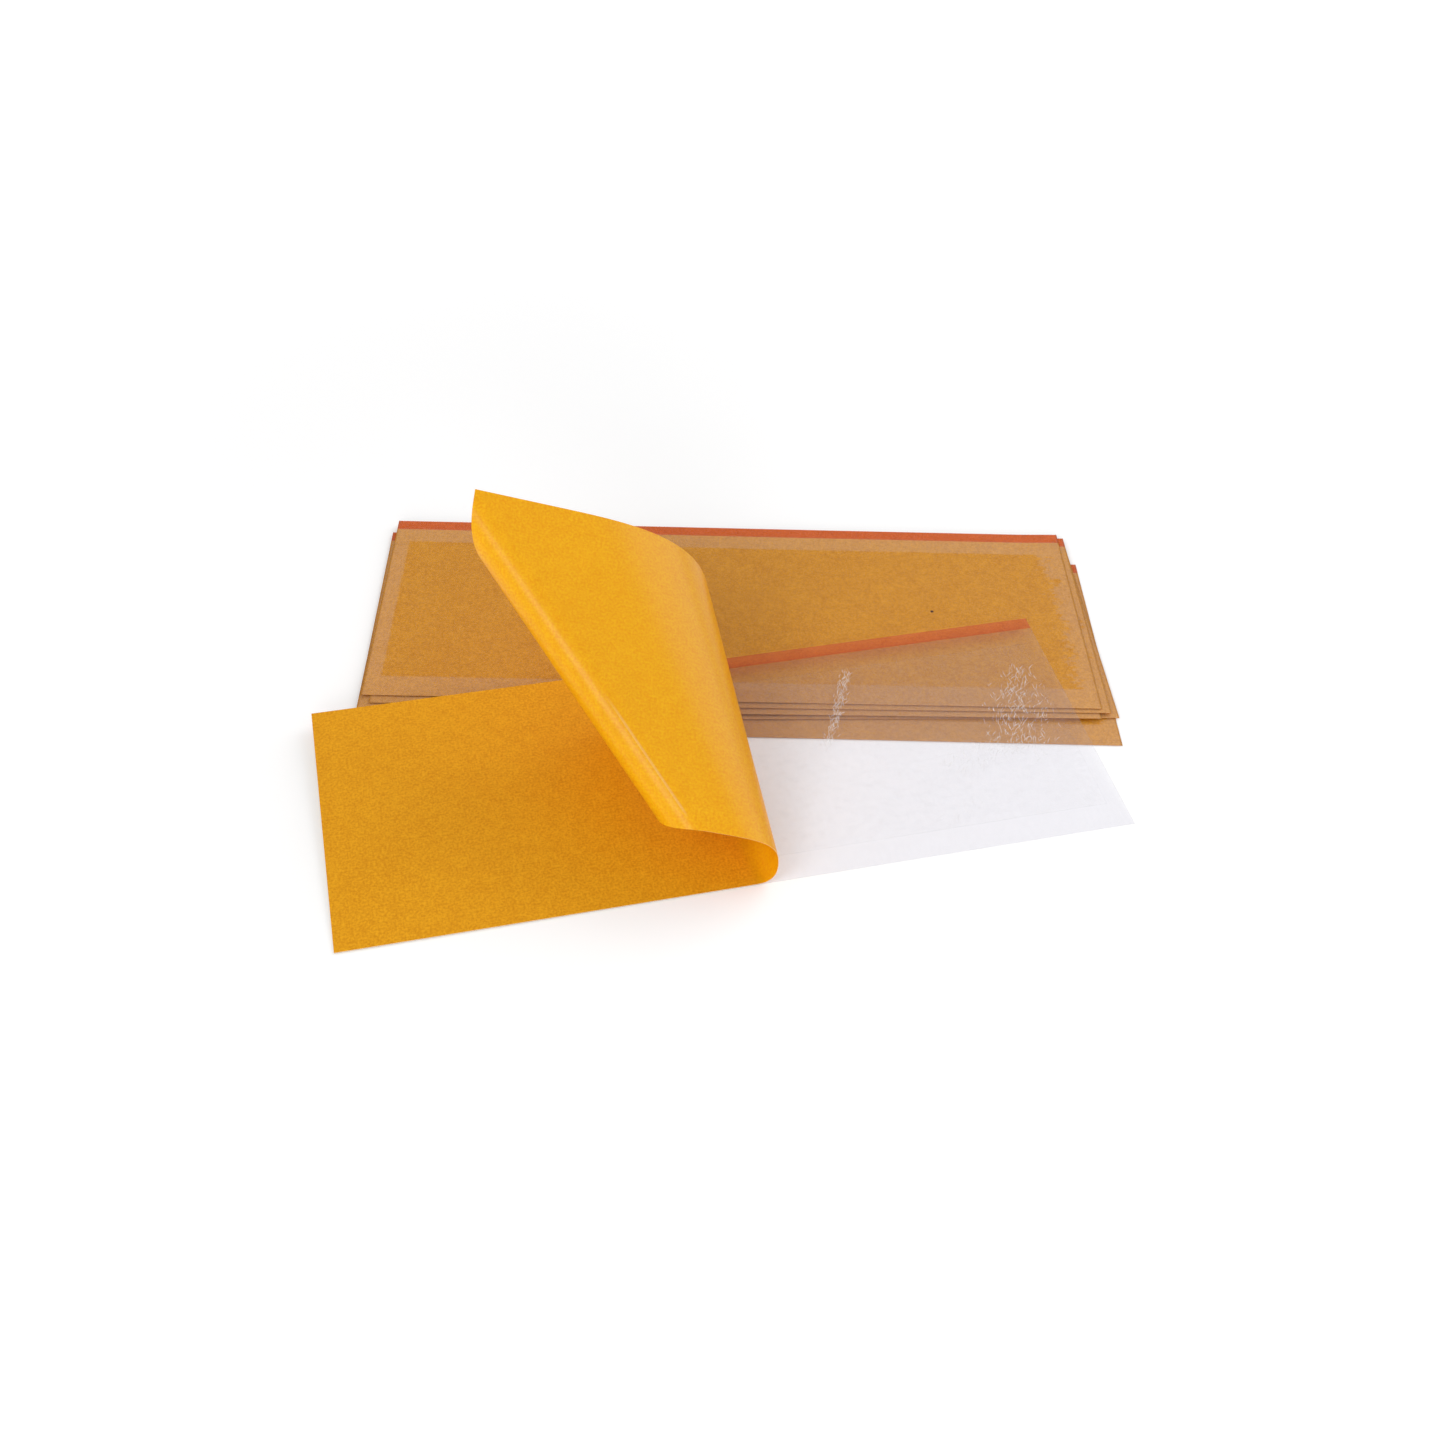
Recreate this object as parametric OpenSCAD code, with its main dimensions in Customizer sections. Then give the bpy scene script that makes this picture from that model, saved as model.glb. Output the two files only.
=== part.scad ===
// Pile of sticky trap sheets with one opened sheet lying across its front

/* [Sheet] */
// Length of one sheet
sheet_length = 250; // [200:1:300]
// Width of one sheet
sheet_width = 97; // [80:1:120]
// Thickness of the clear film
film_thick = 0.2; // [0.1:0.01:0.4]
// Thickness of the glue coat and of the stripe beside it
glue_thick = 0.08; // [0.04:0.01:0.2]
// Thickness of the release paper
liner_thick = 0.12; // [0.08:0.01:0.3]

/* [Glue and stripe] */
// Bare film at each end of the glue coat
glue_end_margin = 5.5; // [2:0.5:20]
// Bare film along the front edge
glue_front_margin = 9.5; // [3:0.5:20]
// Bare film between the glue coat and the stripe
glue_stripe_gap = 7.5; // [2:0.5:20]
// Width of the stripe along the rear edge
stripe_width = 5; // [3:0.5:12]

/* [Pile] */
// Air between one sheet of the pile and the next
pile_gap = 0.05; // [0.03:0.01:0.3]
// Second sheet, shift along the pile
sheet_2_x = -0.6; // [-15:0.1:15]
// Second sheet, shift across the pile
sheet_2_y = 8; // [0:0.1:20]
// Second sheet, turn
sheet_2_turn = 2.2; // [-4:0.1:4]
// Third sheet, shift along the pile
sheet_3_x = -6; // [-15:0.1:15]
// Third sheet, shift across the pile
sheet_3_y = 9.6; // [0:0.1:20]
// Third sheet, turn
sheet_3_turn = 0.9; // [-4:0.1:4]
// Fourth sheet, shift along the pile
sheet_4_x = -2.2; // [-15:0.1:15]
// Fourth sheet, shift across the pile
sheet_4_y = 12.2; // [0:0.1:20]
// Fourth sheet, turn
sheet_4_turn = 0.8; // [-4:0.1:4]
// Top sheet, shift along the pile
sheet_5_x = -4.9; // [-15:0.1:15]
// Top sheet, shift across the pile
sheet_5_y = 14.6; // [0:0.1:20]
// Top sheet, turn
sheet_5_turn = 0.4; // [-4:0.1:4]

/* [Open sheet] */
// Middle of the open sheet along the pile
open_x = -10.5; // [-30:0.5:10]
// Middle of the open sheet across the pile
open_y = -65.6; // [-75:0.1:-55]
// Turn of the open sheet
open_turn = 13.4; // [5:0.1:20]
// Air under the open sheet where it crosses the edge of the pile
open_clear = 0.4; // [0.2:0.05:2]

/* [Peeled paper] */
// Peeled length of the release paper along the front edge
peel_length = 125.2; // [110:0.1:145]
// Lean of the peel line towards the stuck half, rear end
peel_lean = 7.5; // [0:0.5:15]
// Distance from the front edge to the point of the roll's cone
roll_apex = 51.3; // [40:0.1:80]
// Angle of the flat paper that the roll takes up
roll_span = 40.8; // [30:0.1:45]
// Radius of the roll at the front edge for an even curl
roll_radius = 7.52; // [6.5:0.01:9]
// How much tighter the roll is at the peel line than at the flap
roll_ease = 1; // [0:0.05:1]
// How much the roll flattens part of the way round
roll_dip = 1.07; // [0:0.01:1.2]
// Share of the roll's span at which it flattens most
roll_dip_place = 0.35; // [0.2:0.01:0.6]
// Flat front edge between the roll and the diagonal bend
flap_front = 3; // [1:0.5:25]
// Radius of the diagonal bend
bend_radius = 7.5; // [4:0.1:12]
// Turn that the diagonal bend springs open to where its corner hangs free
bend_turn = 100; // [90:1:120]
// Air between the tucked corner and the stuck paper
corner_clear = 0.35; // [0.2:0.05:2]
// Gap between the roll and the flap that swings on it
peel_seam = 0.2; // [0.1:0.05:0.5]

/* [Hidden] */
sheet_thick = film_thick + glue_thick + liner_thick;
glue_length = sheet_length - 2 * glue_end_margin;
glue_width = sheet_width - glue_front_margin - glue_stripe_gap - stripe_width;
roll_steps = 36;
roll_soft_end = 0.12;
roll_dip_width = 0.14;
bend_steps = 14;
corner_blunt = 0.4;

// Place of each sheet of the pile from the bottom up: shift along, shift across, turn
pile = [
    [0, 0, 0],
    [sheet_2_x, sheet_2_y, sheet_2_turn],
    [sheet_3_x, sheet_3_y, sheet_3_turn],
    [sheet_4_x, sheet_4_y, sheet_4_turn],
    [sheet_5_x, sheet_5_y, sheet_5_turn]
];
function sheet_floor(i) = i * (sheet_thick + pile_gap);
function sheet_top(i) = sheet_floor(i) + sheet_thick;

// Front corner of a pile sheet, side -1 left and 1 right, seen from the open sheet's front left corner
function turned(p, a) = [p.x * cos(a) - p.y * sin(a), p.x * sin(a) + p.y * cos(a)];
function on_row(s, side) = [s.x, s.y] + turned([side * sheet_length, -sheet_width] / 2, s.z);
function on_open(s, side) =
    turned(on_row(s, side) - [open_x, open_y], -open_turn) + [sheet_length, sheet_width] / 2;

// Least distance from the open sheet's front edge to the front edge of a pile sheet under it
function edge_at(left, right, x) =
    left.y + (right.y - left.y) * (x - left.x) / (right.x - left.x);
function reach(left, right) = min(
    edge_at(left, right, max(0, left.x)),
    edge_at(left, right, min(sheet_length, right.x))
);
open_slope = max([
    for (i = [0:len(pile) - 1])
        (sheet_top(i) + open_clear) / reach(on_open(pile[i], -1), on_open(pile[i], 1))
]);
open_tilt = atan(open_slope);

// A vector turned about a unit axis
function spun(v, axis, a) =
    v * cos(a) + cross(axis, v) * sin(a) + axis * (axis * v) * (1 - cos(a));

// The roll is a cone that leaves the film along the peel line
peel_dir = [-sin(peel_lean), cos(peel_lean), 0];
peel_side = [cos(peel_lean), sin(peel_lean), 0];
peel_point = [sheet_length - peel_length, 0, 0];
peel_rear = peel_point + peel_dir * sheet_width / cos(peel_lean);
apex = peel_point - roll_apex * peel_dir;
function eased(t) = let (u = max(0, min(1, t))) u * u * (3 - 2 * u);
function dip(s) = roll_dip * exp(-pow((s - roll_dip_place) / roll_dip_width, 2));
function curl(s) =
    roll_apex / roll_radius * eased(s / roll_soft_end) * eased((1 - s) / roll_soft_end)
    * (1 + roll_ease * (1 - 2 * s) - dip(s));

// Frames round the roll: along a line of the cone, away from it, and out of the paper
function curled(f, k) =
    let (
        pitch = sqrt(1 + k * k),
        axis = -(k * f[0] + f[2]) / pitch,
        a = roll_span / roll_steps * pitch
    )
    [spun(f[0], axis, a), spun(f[1], axis, a), spun(f[2], axis, a)];
roll_frames = [
    for (
        i = 0, f = [peel_dir, peel_side, [0, 0, 1]];
        i <= roll_steps;
        i = i + 1, f = curled(f, curl((i - 0.5) / roll_steps))
    ) f
];
function paper_angle(i) = roll_span * i / roll_steps - peel_lean;
function roll_point(i, y) = apex + roll_frames[i][0] * (y - apex.y) / cos(paper_angle(i));
function roll_line(i) = [roll_point(i, 0), roll_point(i, sheet_width), roll_frames[i][2]];

// Frame of the flap: along the roll's last line, away from it, and out of the paper
last_angle = paper_angle(roll_steps);
flat_along = [sin(last_angle), cos(last_angle), 0];
flat_away = [cos(last_angle), -sin(last_angle), 0];
flap_along = roll_frames[roll_steps][0];
flap_away = roll_frames[roll_steps][1];
flap_out = roll_frames[roll_steps][2];
function lifted(v) = flap_along * (v * flat_along) + flap_away * (v * flat_away);
function flap_point(q, out) = apex + lifted(q - apex) + flap_out * out;

// Start of the flap in the flat paper, one seam past the roll
function start_point(y) =
    apex + flat_along * (y - apex.y + peel_seam * sin(last_angle)) / cos(last_angle)
    + flat_away * peel_seam;

// The diagonal bend runs from the front edge to the free rear corner
bend_front = [start_point(0).x + flap_front, 0, 0];
free_rear = [sheet_length, sheet_width, 0];
bend_line = (free_rear - bend_front) / norm(free_rear - bend_front);
bend_side = [bend_line.y, -bend_line.x, 0];
corner_depth = (sheet_length - bend_front.x) * bend_side.x;
function bent(d, a) = min(d / bend_radius * 180 / PI, a);
function past(d, a) = max(d - bend_radius * a * PI / 180, 0);
function bent_side(d, a) = bend_radius * sin(bent(d, a)) + past(d, a) * cos(a);
function bent_out(d, a) = bend_radius * (1 - cos(bent(d, a))) + past(d, a) * sin(a);
function tucked(q, d, a) = flap_point(q + bend_side * (bent_side(d, a) - d), bent_out(d, a));

// Turn at which the tucked corner, springing open, comes to lie on the stuck paper
corner_floor = liner_thick + corner_clear;
function corner_height(a) = tucked([sheet_length, 0, 0], corner_depth, a).z;
function resting_turn(low, high, n) =
    n == 0 ? high :
    corner_height((low + high) / 2) > corner_floor
        ? resting_turn(low, (low + high) / 2, n - 1)
        : resting_turn((low + high) / 2, high, n - 1);
tuck_turn = corner_height(bend_turn) > corner_floor ? bend_turn : resting_turn(bend_turn, 180, 40);
function bend_row(d) = [
    tucked([bend_front.x + d / bend_side.x, 0, 0], d, tuck_turn),
    tucked([sheet_length, sheet_width - d / bend_line.x, 0], d, tuck_turn),
    flap_out * cos(bent(d, tuck_turn)) - lifted(bend_side) * sin(bent(d, tuck_turn))
];

roll_rows = [for (i = [0:roll_steps]) roll_line(i)];
flap_rows = [
    [flap_point(start_point(0), 0), flap_point(start_point(sheet_width), 0), flap_out],
    for (i = [0:bend_steps]) bend_row(bend_radius * tuck_turn * PI / 180 * i / bend_steps),
    bend_row(corner_depth - corner_blunt)
];

// Layers of one sheet, from its front left corner
module layer(thick) { cube([sheet_length, sheet_width, thick]); }

module glue_layer() {
    translate([glue_end_margin, glue_front_margin, 0])
        cube([glue_length, glue_width, glue_thick]);
}

module stripe_layer() {
    translate([0, sheet_width - stripe_width, 0])
        cube([sheet_length, stripe_width, glue_thick]);
}

// Puts a layer of a pile sheet at its height and place
module in_pile(i, height) {
    translate([pile[i].x, pile[i].y, sheet_floor(i) + height])
        rotate(pile[i].z)
            translate([-sheet_length / 2, -sheet_width / 2, 0]) children();
}

// Puts a layer of the open sheet on its slope
module in_open(height) {
    translate([open_x, open_y, 0])
        rotate(open_turn)
            translate([-sheet_length / 2, -sheet_width / 2, 0])
                rotate([open_tilt, 0, 0]) translate([0, 0, height]) children();
}

// Sheet of paper through a row of straight lines, each with two ends and a normal
module paper(rows) {
    half = liner_thick / 2;
    n = len(rows);
    points = [
        for (r = rows) each [
            r[0] + half * r[2], r[1] + half * r[2], r[1] - half * r[2], r[0] - half * r[2]
        ]
    ];
    sides = [
        for (i = [0:n - 2], j = [0:3])
            each [
                [4 * i + j, 4 * i + 4 + j, 4 * i + (j + 1) % 4],
                [4 * i + (j + 1) % 4, 4 * i + 4 + j, 4 * i + 4 + (j + 1) % 4]
            ]
    ];
    ends = [
        [0, 1, 2],
        [0, 2, 3],
        [4 * n - 2, 4 * n - 3, 4 * n - 4],
        [4 * n - 1, 4 * n - 2, 4 * n - 4]
    ];
    polyhedron(points, concat(sides, ends));
}

module pile_liner(i) { color("goldenrod") in_pile(i, 0) layer(liner_thick); }
module pile_glue(i) { color("khaki") in_pile(i, liner_thick) glue_layer(); }
module pile_stripe(i) { color("coral") in_pile(i, liner_thick) stripe_layer(); }
module pile_film(i) {
    color("lavender") in_pile(i, liner_thick + glue_thick) layer(film_thick);
}

module liner_1() { pile_liner(0); }
module glue_1() { pile_glue(0); }
module stripe_1() { pile_stripe(0); }
module film_1() { pile_film(0); }
module liner_2() { pile_liner(1); }
module glue_2() { pile_glue(1); }
module stripe_2() { pile_stripe(1); }
module film_2() { pile_film(1); }
module liner_3() { pile_liner(2); }
module glue_3() { pile_glue(2); }
module stripe_3() { pile_stripe(2); }
module film_3() { pile_film(2); }
module liner_4() { pile_liner(3); }
module glue_4() { pile_glue(3); }
module stripe_4() { pile_stripe(3); }
module film_4() { pile_film(3); }
module liner_5() { pile_liner(4); }
module glue_5() { pile_glue(4); }
module stripe_5() { pile_stripe(4); }
module film_5() { pile_film(4); }

module open_film() { color("lavender") in_open(0) layer(film_thick); }
module open_glue() { color("khaki") in_open(film_thick) glue_layer(); }
module open_stripe() { color("coral") in_open(film_thick) stripe_layer(); }

// Half of the release paper that is still stuck
module open_liner() {
    color("goldenrod") in_open(film_thick + glue_thick)
        linear_extrude(liner_thick)
            polygon([
                [0, 0],
                [peel_point.x, 0],
                [peel_rear.x, sheet_width],
                [0, sheet_width]
            ]);
}

// Roll where the release paper leaves the film
module liner_roll() {
    color("orange") in_open(film_thick + glue_thick + liner_thick / 2) paper(roll_rows);
}

// Peeled half of the release paper with its tucked corner
module liner_flap() {
    color("orange") in_open(film_thick + glue_thick + liner_thick / 2) paper(flap_rows);
}

liner_1();
glue_1();
stripe_1();
film_1();
liner_2();
glue_2();
stripe_2();
film_2();
liner_3();
glue_3();
stripe_3();
film_3();
liner_4();
glue_4();
stripe_4();
film_4();
liner_5();
glue_5();
stripe_5();
film_5();
open_film();
open_glue();
open_stripe();
open_liner();
liner_roll();
liner_flap();
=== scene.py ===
"""Looks of a pile of sticky trap sheets, with one opened sheet lying across its front.

Each sheet is a clear film with a glue coat, an orange stripe and a release paper over the glue.
"""

import logging
import math
from abc import ABC, abstractmethod
from dataclasses import dataclass
from enum import Enum
from functools import cached_property
from typing import Any

import bpy
import numpy as np
from mathutils import Matrix, Vector


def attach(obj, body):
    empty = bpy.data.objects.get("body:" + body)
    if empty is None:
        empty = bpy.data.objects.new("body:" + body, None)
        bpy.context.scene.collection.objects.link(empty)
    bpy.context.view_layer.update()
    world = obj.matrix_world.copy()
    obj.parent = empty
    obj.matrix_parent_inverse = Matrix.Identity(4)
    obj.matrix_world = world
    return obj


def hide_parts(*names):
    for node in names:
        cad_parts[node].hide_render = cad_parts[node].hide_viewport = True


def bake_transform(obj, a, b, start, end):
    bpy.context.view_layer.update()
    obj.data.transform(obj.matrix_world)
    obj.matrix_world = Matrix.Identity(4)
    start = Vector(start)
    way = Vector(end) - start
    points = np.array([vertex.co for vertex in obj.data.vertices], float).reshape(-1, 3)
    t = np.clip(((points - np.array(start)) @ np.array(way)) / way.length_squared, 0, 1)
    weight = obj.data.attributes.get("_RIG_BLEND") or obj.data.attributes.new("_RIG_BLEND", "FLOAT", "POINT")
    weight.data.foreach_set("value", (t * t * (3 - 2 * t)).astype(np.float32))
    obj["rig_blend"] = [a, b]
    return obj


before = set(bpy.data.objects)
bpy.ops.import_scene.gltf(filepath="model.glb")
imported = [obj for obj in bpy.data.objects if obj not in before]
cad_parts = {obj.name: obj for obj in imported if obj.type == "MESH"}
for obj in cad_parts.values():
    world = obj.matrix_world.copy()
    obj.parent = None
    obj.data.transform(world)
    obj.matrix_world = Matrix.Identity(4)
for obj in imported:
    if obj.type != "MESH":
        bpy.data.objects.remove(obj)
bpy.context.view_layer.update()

log = logging.getLogger("trap_sheets")

Colour = tuple[float, float, float, float]
Tones = tuple[Colour, Colour]
Spot = tuple[float, float]
Place = tuple[float, float, float]
FLAT_MAP = "Flat"
WHITE: Colour = (1.0, 1.0, 1.0, 1.0)
BLACK: Colour = (0.0, 0.0, 0.0, 1.0)
LAYER_CELL = 0.005
SHARP_EDGE = math.radians(50)
PILE_PLACES: tuple[tuple[Spot, float], ...] = (
    ((0.0, 0.0), 0.0),
    ((-0.0006, 0.008), 2.2),
    ((-0.006, 0.0096), 0.9),
    ((-0.0022, 0.0122), 0.8),
    ((-0.0049, 0.0146), 0.4),
)
FLAT_SHEETS = 2
FRONT_SPRING = 0.00031
TOP_FLECK: Spot = (0.1972, 0.0501)


def ink(red: int, green: int, blue: int) -> Colour:
    """Turns a screen colour of three numbers up to 255 into a linear colour."""
    parts = (c / 255 for c in (red, green, blue))
    return (*(c / 12.92 if c <= 0.04045 else ((c + 0.055) / 1.055) ** 2.4 for c in parts), 1.0)


def facing(place: Place, aim: Place) -> Matrix:
    """Place and turn of a lamp or a camera that looks at a point."""
    ahead = Vector(aim) - Vector(place)
    return Matrix.Translation(place) @ ahead.to_track_quat("-Z", "Y").to_matrix().to_4x4()


def raised(flat: np.ndarray) -> np.ndarray:
    """Gives points of the flat cut a height of 0."""
    return np.concatenate([flat, np.zeros((*flat.shape[:2], 1))], axis=-1)


def cell_corners(index: np.ndarray) -> np.ndarray:
    """Lists the four corners of each cell in a grid of point numbers."""
    return np.stack([index[:-1, :-1], index[:-1, 1:], index[1:, 1:], index[1:, :-1]], -1).reshape(-1, 4)


def smooth(value: np.ndarray, low: float, high: float) -> np.ndarray:
    """Rises smoothly from 0 at low to 1 at high."""
    share = np.clip((value - low) / (high - low), 0, 1)
    return share * share * (3 - 2 * share)


def linked(name: str, data: Any) -> bpy.types.Object:
    """Makes an object of some data and links it to the scene."""
    made = bpy.data.objects.new(name, data)
    bpy.context.scene.collection.objects.link(made)
    return made


class Side(Enum):
    """Face of a release paper that carries the release coat."""

    UPPER = "upper"
    LOWER = "lower"
    NONE = "none"


@dataclass(frozen=True)
class SheetCut:
    """Sizes of one flat trap sheet, in metres."""

    length: float = 0.250
    width: float = 0.097
    film: float = 0.00020
    glue: float = 0.00008
    paper: float = 0.00012
    end_margin: float = 0.0055
    front_margin: float = 0.0095
    stripe_gap: float = 0.0075
    stripe: float = 0.005
    seam: float = 0.000004

    @property
    def glue_body(self) -> float:
        """Thickness of the glue and the stripe between their seams."""
        return self.glue - 2 * self.seam

    @property
    def glue_rear(self) -> float:
        """Rear edge of the glue coat."""
        return self.width - self.stripe - self.stripe_gap

    @property
    def glue_right(self) -> float:
        """Right end of the glue coat."""
        return self.length - self.end_margin

    @property
    def whole(self) -> tuple[Spot, Spot]:
        """Front left and rear right corner of the sheet."""
        return (0.0, 0.0), (self.length, self.width)

    @property
    def coat(self) -> tuple[Spot, Spot]:
        """Front left and rear right corner of the glue coat."""
        return (self.end_margin, self.front_margin), (self.glue_right, self.glue_rear)

    @property
    def band(self) -> tuple[Spot, Spot]:
        """Front left and rear right corner of the stripe."""
        return (0.0, self.width - self.stripe), (self.length, self.width)


class Wire:
    """Output of a node, on which Python arithmetic adds Math nodes."""

    def __init__(self, bench: "Bench", socket: bpy.types.NodeSocket) -> None:
        """Keeps the socket and the bench that its tree belongs to."""
        self.bench = bench
        self.socket = socket

    def _math(self, operation: str, first: "Wire | float", second: "Wire | float") -> "Wire":
        """Adds one Math node on two terms."""
        return self.bench.node("ShaderNodeMath", {0: first, 1: second}, operation=operation)

    def __add__(self, other: "Wire | float") -> "Wire":
        """Adds a term."""
        return self._math("ADD", self, other)

    __radd__ = __add__

    def __sub__(self, other: "Wire | float") -> "Wire":
        """Takes a term away."""
        return self._math("SUBTRACT", self, other)

    def __rsub__(self, other: "Wire | float") -> "Wire":
        """Takes this value away from a number."""
        return self._math("SUBTRACT", other, self)

    def __mul__(self, other: "Wire | float") -> "Wire":
        """Multiplies by a term."""
        return self._math("MULTIPLY", self, other)

    __rmul__ = __mul__

    def __truediv__(self, other: "Wire | float") -> "Wire":
        """Divides by a term."""
        return self._math("DIVIDE", self, other)


class Bench:
    """Node tree with a single way to add a node to it."""

    def __init__(self, tree: bpy.types.NodeTree) -> None:
        """Takes an empty shader or geometry tree."""
        self.tree = tree

    def node(
        self, kind: str, values: dict[int | str, Any] | None = None, output: int | str = 0, **settings: Any
    ) -> Wire:
        """Adds a node, sets it up and links it.

        Args:
            kind: Blender's name of the node's type.
            values: Number, colour or wire for each socket, by index, name or identifier.
            output: Output socket to hand back, by index, name or identifier.
            settings: The node's own settings, set before its sockets.

        Returns:
            The chosen output, or the first input of a node that has no output.
        """
        made = self.tree.nodes.new(kind)
        for key, value in settings.items():
            setattr(made, key, value)
        for key, value in (values or {}).items():
            socket = self._socket(made.inputs, key)
            if isinstance(value, Wire):
                self.tree.links.new(value.socket, socket)
            else:
                socket.default_value = value
        found = made.outputs if made.outputs else made.inputs
        return Wire(self, self._socket(found, output))

    @staticmethod
    def _socket(sockets: Any, key: int | str) -> bpy.types.NodeSocket:
        """Finds a socket by index, identifier or name."""
        if isinstance(key, int):
            return sockets[key]
        exact = [s for s in sockets if s.identifier == key]
        return (exact or [s for s in sockets if s.name == key])[0]


class Passing(Enum):
    """Way in which a thin layer lets light through, by Blender's name of the shader."""

    CLEAR = "ShaderNodeBsdfTransparent"
    SCATTERED = "ShaderNodeBsdfTranslucent"


@dataclass(frozen=True)
class Through:
    """Light that a thin layer lets through: the way, the colour and the share of it."""

    kind: Passing
    colour: Wire | Colour
    share: Wire | float


class Paint(Bench):
    """Node tree of one material."""

    def __init__(self, name: str) -> None:
        """Makes an empty material.

        Args:
            name: Name of the material.
        """
        self.material = bpy.data.materials.new(name)
        self.material.use_nodes = True
        self.material.node_tree.nodes.clear()
        super().__init__(self.material.node_tree)

    @cached_property
    def flat(self) -> Wire:
        """Place on the flat cut, in metres."""
        return self.node("ShaderNodeUVMap", uv_map=FLAT_MAP)

    def mark(self, name: str) -> Wire:
        """Value of one of the mesh's own attributes."""
        return self.node("ShaderNodeAttribute", output="Fac", attribute_name=name)

    def part(self, place: Wire, axis: str) -> Wire:
        """One coordinate of a place."""
        return self.node("ShaderNodeSeparateXYZ", {0: place}, axis)

    def ramp(self, value: Wire, low: float, high: float) -> Wire:
        """Smooth step from 0 at low to 1 at high."""
        limits = {"Value": value, 1: low, 2: high}
        return self.node("ShaderNodeMapRange", limits, interpolation_type="SMOOTHSTEP")

    def noise(self, grain: Spot, seed: float, detail: float) -> Wire:
        """Adds a noise on the flat cut.

        Args:
            grain: Grains per metre along and across the sheet.
            seed: Shift that makes one sheet differ from the next.
            detail: Number of finer layers in the noise.

        Returns:
            The noise, about 0.5 on average.
        """
        values = {"Vector": self.flat, "Location": (seed, -seed, seed), "Scale": (*grain, 1.0)}
        moved = self.node("ShaderNodeMapping", values)
        return self.node("ShaderNodeTexNoise", {"Vector": moved, "Scale": 1.0, "Detail": detail})

    def mix(self, share: Wire | float, first: Wire | Colour, second: Wire | Colour) -> Wire:
        """Goes from a first colour to a second one."""
        values = {"Factor_Float": share, "A_Color": first, "B_Color": second}
        return self.node("ShaderNodeMix", values, "Result_Color", data_type="RGBA")

    def bump(self, height: Wire, strength: float, depth: float) -> Wire:
        """Adds fine relief from a height."""
        return self.node("ShaderNodeBump", {"Height": height, "Strength": strength, "Distance": depth})

    def finish(self, values: dict[int | str, Any], through: Through | None = None) -> bpy.types.Material:
        """Closes the tree with a Principled shader.

        Args:
            values: Number, colour or wire for each of the shader's sockets.
            through: Light that the layer lets through, if it does.

        Returns:
            The finished material.
        """
        shader = self.node("ShaderNodeBsdfPrincipled", values)
        if through is not None:
            passing = self.node(through.kind.value, {"Color": through.colour})
            shader = self.node("ShaderNodeMixShader", {0: through.share, 1: shader, 2: passing})
        self.node("ShaderNodeOutputMaterial", {"Surface": shader})
        return self.material


@dataclass(frozen=True)
class GlueArea:
    """Where glue wets a sheet: a rectangle with a feathered right end."""

    cut: SheetCut
    seed: float
    edge: float = 0.0005
    feather: float = 0.009
    wander: Spot = (60, 300)
    strokes: Spot = (420, 900)
    tongues: Spot = (90, 170)
    stroke_reach: float = 2.2
    tongue_reach: float = 1.8
    fade: Spot = (-0.1, 0.35)

    def mask(self, paint: Paint) -> Wire:
        """Adds a mask that is 1 on the glue and 0 on the bare margins.

        Args:
            paint: Material that reads the mask.

        Returns:
            The mask.
        """
        cut, edge = self.cut, self.edge
        along, across = paint.part(paint.flat, "X"), paint.part(paint.flat, "Y")
        wander = (paint.noise(self.wander, self.seed, 3) - 0.5) * edge * 2
        left = paint.ramp(along + wander, cut.end_margin - edge, cut.end_margin + edge)
        front = paint.ramp(across + wander, cut.front_margin - edge, cut.front_margin + edge)
        rear = paint.ramp(cut.glue_rear - across + wander, -edge, edge)
        strokes = (paint.noise(self.strokes, self.seed + 3, 4) - 0.5) * self.stroke_reach
        tongues = (paint.noise(self.tongues, self.seed, 3) - 0.5) * self.tongue_reach
        inside = (cut.glue_right - along) / self.feather
        right = paint.ramp(inside + strokes + tongues, *self.fade)
        return left * front * rear * right

    def closed(self, paint: Paint) -> Wire:
        """Adds a mask of the film that has no air behind it: the glue and the printed stripe."""
        past = paint.part(paint.flat, "Y") - (self.cut.width - self.cut.stripe)
        return self.mask(paint) + paint.ramp(past, -self.edge, self.edge)

    def ends(self, paint: Paint, width: float) -> Wire:
        """Adds a mask of a narrow border along both short ends of the sheet.

        Args:
            paint: Material that reads the mask.
            width: Width of the border.

        Returns:
            The mask.
        """
        along, core = paint.part(paint.flat, "X"), width * 0.3
        left = paint.ramp(along, core, width)
        right = paint.ramp(self.cut.length - along, core, width)
        return 1 - left * right


@dataclass(frozen=True)
class Crease:
    """Fine straight crease in a paper, by its two ends on the flat cut."""

    start: Spot
    end: Spot
    width: float = 0.0005
    start_fade: float = 0.3
    end_fade: float = 0.1

    def height(self, paint: Paint) -> Wire:
        """Adds the height of the crease.

        Args:
            paint: Material that reads the height.

        Returns:
            The height, 1 on the crease and 0 away from it.
        """
        run = np.array(self.end) - np.array(self.start)
        length = float(np.linalg.norm(run))
        turn = math.atan2(run[1], run[0])
        values = {"Vector": paint.flat, "Location": (*self.start, 0.0), "Rotation": (0.0, 0.0, turn)}
        moved = paint.node("ShaderNodeMapping", values, vector_type="TEXTURE")
        along, across = paint.part(moved, "X"), paint.part(moved, "Y")
        rise = paint.ramp(along, 0.0, length * self.start_fade)
        fall = paint.ramp(length - along, 0.0, length * self.end_fade)
        return (1 - paint.ramp(across * across, 0.0, self.width**2)) * rise * fall


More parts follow.
